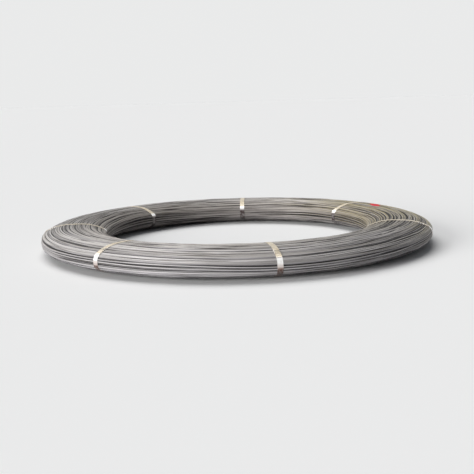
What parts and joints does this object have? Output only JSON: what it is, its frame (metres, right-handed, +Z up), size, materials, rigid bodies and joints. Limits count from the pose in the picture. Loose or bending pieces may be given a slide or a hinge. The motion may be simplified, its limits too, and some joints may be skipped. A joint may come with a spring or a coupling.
{
  "type": "coil of steel wire",
  "caption": "Low, wide ring coil of drawn steel wire, lying flat, tied with flat steel straps closed by crimped seals.",
  "frame": {"origin": "centre of the coil's eye, at the level that the straps' undersides rest on", "axes": "+Z up along the coil's axis, +X towards strap_1, which lies 5 degrees to its -Y side"},
  "size_m": [2.5398, 2.5398, 0.1724],
  "materials": {
    "wire": "drawn, dull, streaked with brown dust",
    "strap": "bright rolled",
    "seal": "bright rolled, crimped"
  },
  "bodies": {
    "root": {"wire_coil": "wire", "strap_1": "strap", "strap_2": "strap", "strap_3": "strap", "strap_4": "strap", "strap_5": "strap", "strap_6": "strap", "strap_7": "strap", "seal_1": "seal", "seal_2": "seal", "seal_3": "seal", "seal_4": "seal", "seal_5": "seal", "seal_6": "seal", "seal_7": "seal"}
  },
  "joints": []
}
